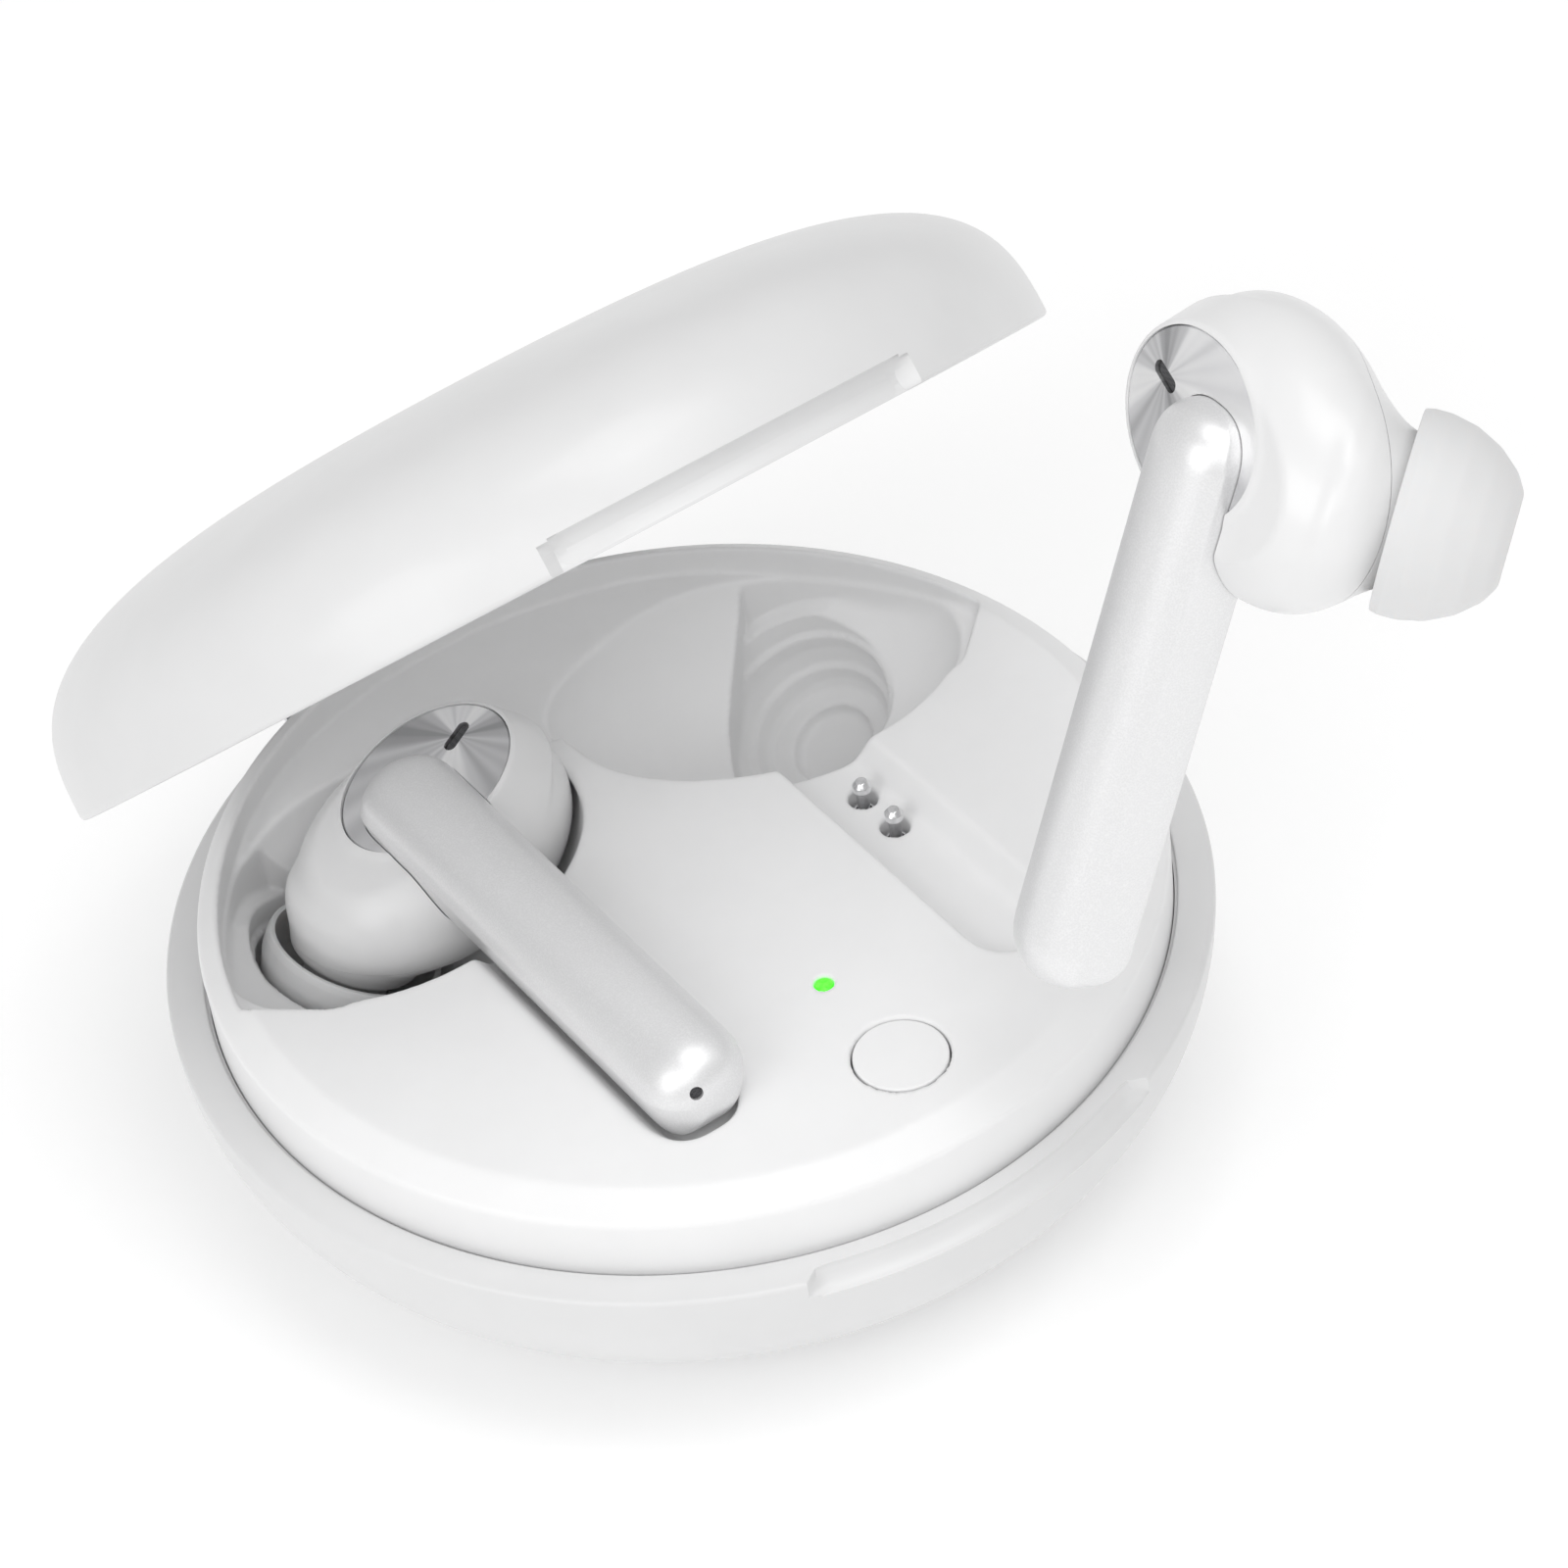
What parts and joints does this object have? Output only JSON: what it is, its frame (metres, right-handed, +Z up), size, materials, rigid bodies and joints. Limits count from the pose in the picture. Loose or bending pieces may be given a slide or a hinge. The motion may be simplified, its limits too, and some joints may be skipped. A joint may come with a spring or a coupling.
{
  "type": "wireless earbuds with charging case",
  "caption": "Round clamshell charging case with a hinged domed lid, one stemmed earbud lying in its well and the other held above the front of the case.",
  "frame": {"origin": "centre of the flat resting face under the case", "axes": "+Z up through the case, +Y toward the lid hinge, -Y toward the finger scoop and the button"},
  "size_m": [0.066, 0.0839, 0.0674],
  "materials": {
    "case_white": "satin moulded white",
    "tray_white": "fine matt moulded white",
    "bud_white": "polished white",
    "stem_pearl": "pearl satin white",
    "brushed_plate": "radially turned bright metal",
    "silicone": "soft white silicone",
    "mesh_dark": "dark woven mesh",
    "steel": "plain steel",
    "contact_gold": "gold plated",
    "magnet_nickel": "nickel plated",
    "board_green": "solder mask",
    "cell_foil": "foil pouch",
    "moulded_black": "moulded",
    "status_green": "lit lens",
    "led_body": "moulded"
  },
  "bodies": {
    "base": {"base_shell": "case_white", "inner_tray": "tray_white", "usb_c_socket": "steel", "battery_cell": "cell_foil", "main_board": "board_green", "tactile_switch": "moulded_black", "status_light_lens": "status_green", "status_led_chip": "led_body", "pin_barrel_right_rear": "contact_gold", "pin_barrel_right_front": "contact_gold", "pin_barrel_left_rear": "contact_gold", "pin_barrel_left_front": "contact_gold", "bud_magnet_right": "magnet_nickel", "bud_magnet_left": "magnet_nickel", "base_latch_magnet": "magnet_nickel", "hinge_pin": "steel", "hinge_bracket": "steel"},
    "lid": {"lid_shell": "case_white", "lid_liner": "tray_white", "lid_hinge_leaf": "steel", "lid_magnet_left": "magnet_nickel", "lid_magnet_right": "magnet_nickel"},
    "button": {"function_button": "tray_white"},
    "left_bud": {"stem_shell_left": "stem_pearl", "stem_mic_mesh_left": "mesh_dark", "contact_pad_rear_left": "contact_gold", "contact_pad_front_left": "contact_gold", "head_shell_left": "bud_white", "nozzle_shell_left": "bud_white", "trim_plate_left": "brushed_plate", "slot_mesh_left": "mesh_dark", "nozzle_mesh_left": "mesh_dark", "speaker_driver_left": "steel", "bud_battery_left": "cell_foil", "ear_tip_left": "silicone"},
    "right_bud": {"stem_shell_right": "stem_pearl", "stem_mic_mesh_right": "mesh_dark", "contact_pad_rear_right": "contact_gold", "contact_pad_front_right": "contact_gold", "head_shell_right": "bud_white", "nozzle_shell_right": "bud_white", "trim_plate_right": "brushed_plate", "slot_mesh_right": "mesh_dark", "nozzle_mesh_right": "mesh_dark", "speaker_driver_right": "steel", "bud_battery_right": "cell_foil"},
    "right_tip": {"ear_tip_right": "silicone"},
    "pin_right_rear": {"charge_pin_right_rear": "contact_gold"},
    "pin_right_front": {"charge_pin_right_front": "contact_gold"},
    "pin_left_rear": {"charge_pin_left_rear": "contact_gold"},
    "pin_left_front": {"charge_pin_left_front": "contact_gold"}
  },
  "joints": [
    {"name": "lid_hinge", "type": "hinge", "parent": "base", "child": "lid", "pos_m": [0, 0.0322, 0.0152], "axis": [-1, 0, 0], "range_deg": [-43.2, 0]},
    {"name": "left_bud_lift", "type": "slide", "parent": "base", "child": "left_bud", "axis": [0, 0, 1], "range_m": [0, 0.016]},
    {"name": "right_bud_carry", "type": "slide", "parent": "base", "child": "right_bud", "axis": [0, 0, 1], "range_m": [0, 0.02]},
    {"name": "button_press", "type": "slide", "parent": "base", "child": "button", "axis": [0, 0, 1], "range_m": [-0.0003, 0]},
    {"name": "right_tip_pull", "type": "slide", "parent": "right_bud", "child": "right_tip", "axis": [0.6042, -0.7698, -0.2057], "range_m": [0, 0.007]},
    {"name": "charge_pin_right_rear_press", "type": "slide", "parent": "base", "child": "pin_right_rear", "axis": [0, 0, 1], "range_m": [-0.0011, 0]},
    {"name": "charge_pin_right_front_press", "type": "slide", "parent": "base", "child": "pin_right_front", "axis": [0, 0, 1], "range_m": [-0.0011, 0]},
    {"name": "charge_pin_left_rear_press", "type": "slide", "parent": "base", "child": "pin_left_rear", "axis": [0, 0, 1], "range_m": [-0.0002, 0]},
    {"name": "charge_pin_left_front_press", "type": "slide", "parent": "base", "child": "pin_left_front", "axis": [0, 0, 1], "range_m": [-0.0002, 0]}
  ]
}
